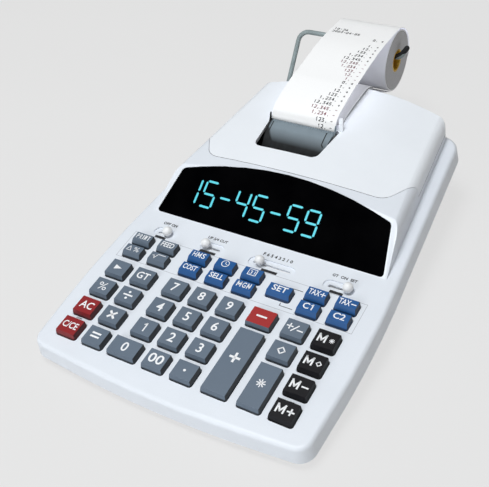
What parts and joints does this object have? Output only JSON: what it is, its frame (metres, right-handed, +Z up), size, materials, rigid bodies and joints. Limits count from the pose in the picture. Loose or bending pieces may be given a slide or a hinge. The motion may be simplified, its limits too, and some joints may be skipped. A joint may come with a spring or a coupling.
{
  "type": "printing calculator",
  "caption": "Desk printing calculator: sloped key deck with sliding switches, dark raised display, printer hump with tear plate, and a paper roll on a wire arm at the back.",
  "frame": {"origin": "on the desk, under the middle of the bounding box", "axes": "+X to the right, +Y to the back, +Z up"},
  "size_m": [0.2268, 0.417, 0.1043],
  "materials": {
    "case_upper": "satin moulded plastic",
    "cover": "satin moulded plastic",
    "case_lower": "textured moulded plastic",
    "feet": "matt rubber",
    "lens": "dark tinted gloss",
    "tear_plate": "smoky gloss",
    "printer_frame": "matt",
    "platen": "ground rubber",
    "paper": "uncoated paper",
    "core": "waxed card",
    "wire": "satin grey",
    "key_grey": "fine satin",
    "key_blue": "fine satin",
    "key_black": "fine satin",
    "key_red": "fine satin",
    "switch_white": "polished"
  },
  "bodies": {
    "case": {"lower_case": "case_lower", "rubber_feet": "feet", "upper_case": "case_upper", "display_lens": "lens", "printer_cover": "cover", "tear_bar": "tear_plate", "printer_frame": "printer_frame", "paper_tape": "paper", "paper_arm": "wire"},
    "paper_supply": {"paper_roll": "paper", "roll_core": "core"},
    "platen": {"platen_roller": "platen"},
    "key_clear_cap": {"key_clear": "key_red"},
    "key_equals_cap": {"key_equals": "key_grey"},
    "key_00_cap": {"key_00": "key_grey"},
    "key_point_cap": {"key_point": "key_grey"},
    "key_memory_plus_cap": {"key_memory_plus": "key_black"},
    "key_all_clear_cap": {"key_all_clear": "key_red"},
    "key_multiply_cap": {"key_multiply": "key_grey"},
    "key_1_cap": {"key_1": "key_grey"},
    "key_2_cap": {"key_2": "key_grey"},
    "key_3_cap": {"key_3": "key_grey"},
    "key_memory_minus_cap": {"key_memory_minus": "key_black"},
    "key_percent_cap": {"key_percent": "key_grey"},
    "key_divide_cap": {"key_divide": "key_grey"},
    "key_4_cap": {"key_4": "key_grey"},
    "key_5_cap": {"key_5": "key_grey"},
    "key_6_cap": {"key_6": "key_grey"},
    "key_subtotal_cap": {"key_subtotal": "key_grey"},
    "key_memory_subtotal_cap": {"key_memory_subtotal": "key_black"},
    "key_shift_cap": {"key_shift": "key_grey"},
    "key_grand_total_cap": {"key_grand_total": "key_grey"},
    "key_7_cap": {"key_7": "key_grey"},
    "key_8_cap": {"key_8": "key_grey"},
    "key_9_cap": {"key_9": "key_grey"},
    "key_minus_cap": {"key_minus": "key_grey"},
    "key_sign_cap": {"key_sign": "key_grey"},
    "key_memory_total_cap": {"key_memory_total": "key_black"},
    "key_delta_cap": {"key_delta": "key_grey"},
    "key_root_cap": {"key_root": "key_grey"},
    "key_cost_cap": {"key_cost": "key_blue"},
    "key_sell_cap": {"key_sell": "key_blue"},
    "key_margin_cap": {"key_margin": "key_blue"},
    "key_c1_cap": {"key_c1": "key_blue"},
    "key_c2_cap": {"key_c2": "key_blue"},
    "key_print_cap": {"key_print": "key_grey"},
    "key_feed_cap": {"key_feed": "key_grey"},
    "key_hms_cap": {"key_hms": "key_blue"},
    "key_clock_cap": {"key_clock": "key_blue"},
    "key_calendar_cap": {"key_calendar": "key_blue"},
    "key_tax_plus_cap": {"key_tax_plus": "key_blue"},
    "key_tax_minus_cap": {"key_tax_minus": "key_blue"},
    "key_0_cap": {"key_0": "key_grey"},
    "key_plus_cap": {"key_plus": "key_grey"},
    "key_total_cap": {"key_total": "key_grey"},
    "key_set_cap": {"key_set": "key_blue"},
    "power_switch_knob": {"power_switch": "switch_white"},
    "rounding_switch_knob": {"rounding_switch": "switch_white"},
    "decimal_switch_knob": {"decimal_switch": "switch_white"},
    "total_switch_knob": {"total_switch": "switch_white"}
  },
  "joints": [
    {"name": "roll_spin", "type": "hinge", "parent": "case", "child": "paper_supply", "pos_m": [-0.01875, 0.17935, 0.07519], "axis": [1, 0, 0], "continuous": true},
    {"name": "platen_spin", "type": "hinge", "parent": "case", "child": "platen", "pos_m": [-0.01875, 0.05708, 0.05353], "axis": [1, 0, 0], "continuous": true},
    {"name": "key_clear_press", "type": "slide", "parent": "case", "child": "key_clear_cap", "axis": [0, -0.1219, 0.9925], "range_m": [-0.003, 0], "stiffness_N_per_m": 250, "springref_m": 0.001},
    {"name": "key_equals_press", "type": "slide", "parent": "case", "child": "key_equals_cap", "axis": [0, -0.1219, 0.9925], "range_m": [-0.003, 0], "stiffness_N_per_m": 250, "springref_m": 0.001},
    {"name": "key_00_press", "type": "slide", "parent": "case", "child": "key_00_cap", "axis": [0, -0.1219, 0.9925], "range_m": [-0.003, 0], "stiffness_N_per_m": 250, "springref_m": 0.001},
    {"name": "key_point_press", "type": "slide", "parent": "case", "child": "key_point_cap", "axis": [0, -0.1219, 0.9925], "range_m": [-0.003, 0], "stiffness_N_per_m": 250, "springref_m": 0.001},
    {"name": "key_memory_plus_press", "type": "slide", "parent": "case", "child": "key_memory_plus_cap", "axis": [0, -0.1219, 0.9925], "range_m": [-0.003, 0], "stiffness_N_per_m": 250, "springref_m": 0.001},
    {"name": "key_all_clear_press", "type": "slide", "parent": "case", "child": "key_all_clear_cap", "axis": [0, -0.1219, 0.9925], "range_m": [-0.003, 0], "stiffness_N_per_m": 250, "springref_m": 0.001},
    {"name": "key_multiply_press", "type": "slide", "parent": "case", "child": "key_multiply_cap", "axis": [0, -0.1219, 0.9925], "range_m": [-0.003, 0], "stiffness_N_per_m": 250, "springref_m": 0.001},
    {"name": "key_1_press", "type": "slide", "parent": "case", "child": "key_1_cap", "axis": [0, -0.1219, 0.9925], "range_m": [-0.003, 0], "stiffness_N_per_m": 250, "springref_m": 0.001},
    {"name": "key_2_press", "type": "slide", "parent": "case", "child": "key_2_cap", "axis": [0, -0.1219, 0.9925], "range_m": [-0.003, 0], "stiffness_N_per_m": 250, "springref_m": 0.001},
    {"name": "key_3_press", "type": "slide", "parent": "case", "child": "key_3_cap", "axis": [0, -0.1219, 0.9925], "range_m": [-0.003, 0], "stiffness_N_per_m": 250, "springref_m": 0.001},
    {"name": "key_memory_minus_press", "type": "slide", "parent": "case", "child": "key_memory_minus_cap", "axis": [0, -0.1219, 0.9925], "range_m": [-0.003, 0], "stiffness_N_per_m": 250, "springref_m": 0.001},
    {"name": "key_percent_press", "type": "slide", "parent": "case", "child": "key_percent_cap", "axis": [0, -0.1219, 0.9925], "range_m": [-0.003, 0], "stiffness_N_per_m": 250, "springref_m": 0.001},
    {"name": "key_divide_press", "type": "slide", "parent": "case", "child": "key_divide_cap", "axis": [0, -0.1219, 0.9925], "range_m": [-0.003, 0], "stiffness_N_per_m": 250, "springref_m": 0.001},
    {"name": "key_4_press", "type": "slide", "parent": "case", "child": "key_4_cap", "axis": [0, -0.1219, 0.9925], "range_m": [-0.003, 0], "stiffness_N_per_m": 250, "springref_m": 0.001},
    {"name": "key_5_press", "type": "slide", "parent": "case", "child": "key_5_cap", "axis": [0, -0.1219, 0.9925], "range_m": [-0.003, 0], "stiffness_N_per_m": 250, "springref_m": 0.001},
    {"name": "key_6_press", "type": "slide", "parent": "case", "child": "key_6_cap", "axis": [0, -0.1219, 0.9925], "range_m": [-0.003, 0], "stiffness_N_per_m": 250, "springref_m": 0.001},
    {"name": "key_subtotal_press", "type": "slide", "parent": "case", "child": "key_subtotal_cap", "axis": [0, -0.1219, 0.9925], "range_m": [-0.003, 0], "stiffness_N_per_m": 250, "springref_m": 0.001},
    {"name": "key_memory_subtotal_press", "type": "slide", "parent": "case", "child": "key_memory_subtotal_cap", "axis": [0, -0.1219, 0.9925], "range_m": [-0.003, 0], "stiffness_N_per_m": 250, "springref_m": 0.001},
    {"name": "key_shift_press", "type": "slide", "parent": "case", "child": "key_shift_cap", "axis": [0, -0.1219, 0.9925], "range_m": [-0.003, 0], "stiffness_N_per_m": 250, "springref_m": 0.001},
    {"name": "key_grand_total_press", "type": "slide", "parent": "case", "child": "key_grand_total_cap", "axis": [0, -0.1219, 0.9925], "range_m": [-0.003, 0], "stiffness_N_per_m": 250, "springref_m": 0.001},
    {"name": "key_7_press", "type": "slide", "parent": "case", "child": "key_7_cap", "axis": [0, -0.1219, 0.9925], "range_m": [-0.003, 0], "stiffness_N_per_m": 250, "springref_m": 0.001},
    {"name": "key_8_press", "type": "slide", "parent": "case", "child": "key_8_cap", "axis": [0, -0.1219, 0.9925], "range_m": [-0.003, 0], "stiffness_N_per_m": 250, "springref_m": 0.001},
    {"name": "key_9_press", "type": "slide", "parent": "case", "child": "key_9_cap", "axis": [0, -0.1219, 0.9925], "range_m": [-0.003, 0], "stiffness_N_per_m": 250, "springref_m": 0.001},
    {"name": "key_minus_press", "type": "slide", "parent": "case", "child": "key_minus_cap", "axis": [0, -0.1219, 0.9925], "range_m": [-0.003, 0], "stiffness_N_per_m": 250, "springref_m": 0.001},
    {"name": "key_sign_press", "type": "slide", "parent": "case", "child": "key_sign_cap", "axis": [0, -0.1219, 0.9925], "range_m": [-0.003, 0], "stiffness_N_per_m": 250, "springref_m": 0.001},
    {"name": "key_memory_total_press", "type": "slide", "parent": "case", "child": "key_memory_total_cap", "axis": [0, -0.1219, 0.9925], "range_m": [-0.003, 0], "stiffness_N_per_m": 250, "springref_m": 0.001},
    {"name": "key_delta_press", "type": "slide", "parent": "case", "child": "key_delta_cap", "axis": [0, -0.1219, 0.9925], "range_m": [-0.003, 0], "stiffness_N_per_m": 250, "springref_m": 0.001},
    {"name": "key_root_press", "type": "slide", "parent": "case", "child": "key_root_cap", "axis": [0, -0.1219, 0.9925], "range_m": [-0.003, 0], "stiffness_N_per_m": 250, "springref_m": 0.001},
    {"name": "key_cost_press", "type": "slide", "parent": "case", "child": "key_cost_cap", "axis": [0, -0.1219, 0.9925], "range_m": [-0.003, 0], "stiffness_N_per_m": 250, "springref_m": 0.001},
    {"name": "key_sell_press", "type": "slide", "parent": "case", "child": "key_sell_cap", "axis": [0, -0.1219, 0.9925], "range_m": [-0.003, 0], "stiffness_N_per_m": 250, "springref_m": 0.001},
    {"name": "key_margin_press", "type": "slide", "parent": "case", "child": "key_margin_cap", "axis": [0, -0.1219, 0.9925], "range_m": [-0.003, 0], "stiffness_N_per_m": 250, "springref_m": 0.001},
    {"name": "key_c1_press", "type": "slide", "parent": "case", "child": "key_c1_cap", "axis": [0, -0.1219, 0.9925], "range_m": [-0.003, 0], "stiffness_N_per_m": 250, "springref_m": 0.001},
    {"name": "key_c2_press", "type": "slide", "parent": "case", "child": "key_c2_cap", "axis": [0, -0.1219, 0.9925], "range_m": [-0.003, 0], "stiffness_N_per_m": 250, "springref_m": 0.001},
    {"name": "key_print_press", "type": "slide", "parent": "case", "child": "key_print_cap", "axis": [0, -0.1219, 0.9925], "range_m": [-0.003, 0], "stiffness_N_per_m": 250, "springref_m": 0.001},
    {"name": "key_feed_press", "type": "slide", "parent": "case", "child": "key_feed_cap", "axis": [0, -0.1219, 0.9925], "range_m": [-0.003, 0], "stiffness_N_per_m": 250, "springref_m": 0.001},
    {"name": "key_hms_press", "type": "slide", "parent": "case", "child": "key_hms_cap", "axis": [0, -0.1219, 0.9925], "range_m": [-0.003, 0], "stiffness_N_per_m": 250, "springref_m": 0.001},
    {"name": "key_clock_press", "type": "slide", "parent": "case", "child": "key_clock_cap", "axis": [0, -0.1219, 0.9925], "range_m": [-0.003, 0], "stiffness_N_per_m": 250, "springref_m": 0.001},
    {"name": "key_calendar_press", "type": "slide", "parent": "case", "child": "key_calendar_cap", "axis": [0, -0.1219, 0.9925], "range_m": [-0.003, 0], "stiffness_N_per_m": 250, "springref_m": 0.001},
    {"name": "key_tax_plus_press", "type": "slide", "parent": "case", "child": "key_tax_plus_cap", "axis": [0, -0.1219, 0.9925], "range_m": [-0.003, 0], "stiffness_N_per_m": 250, "springref_m": 0.001},
    {"name": "key_tax_minus_press", "type": "slide", "parent": "case", "child": "key_tax_minus_cap", "axis": [0, -0.1219, 0.9925], "range_m": [-0.003, 0], "stiffness_N_per_m": 250, "springref_m": 0.001},
    {"name": "key_0_press", "type": "slide", "parent": "case", "child": "key_0_cap", "axis": [0, -0.1219, 0.9925], "range_m": [-0.003, 0], "stiffness_N_per_m": 250, "springref_m": 0.001},
    {"name": "key_plus_press", "type": "slide", "parent": "case", "child": "key_plus_cap", "axis": [0, -0.1219, 0.9925], "range_m": [-0.003, 0], "stiffness_N_per_m": 250, "springref_m": 0.001},
    {"name": "key_total_press", "type": "slide", "parent": "case", "child": "key_total_cap", "axis": [0, -0.1219, 0.9925], "range_m": [-0.003, 0], "stiffness_N_per_m": 250, "springref_m": 0.001},
    {"name": "key_set_press", "type": "slide", "parent": "case", "child": "key_set_cap", "axis": [0, -0.1219, 0.9925], "range_m": [-0.003, 0], "stiffness_N_per_m": 250, "springref_m": 0.001},
    {"name": "power_switch_slide", "type": "slide", "parent": "case", "child": "power_switch_knob", "axis": [1, 0, 0], "range_m": [-0.0081, 0]},
    {"name": "rounding_switch_slide", "type": "slide", "parent": "case", "child": "rounding_switch_knob", "axis": [1, 0, 0], "range_m": [0, 0.0104]},
    {"name": "decimal_switch_slide", "type": "slide", "parent": "case", "child": "decimal_switch_knob", "axis": [1, 0, 0], "range_m": [-0.00473, 0.02367]},
    {"name": "total_switch_slide", "type": "slide", "parent": "case", "child": "total_switch_knob", "axis": [1, 0, 0], "range_m": [-0.0144, 0]}
  ],
  "couplings": [
    {"joint": "platen_spin", "follows": "roll_spin", "ratio": 3.9429}
  ]
}
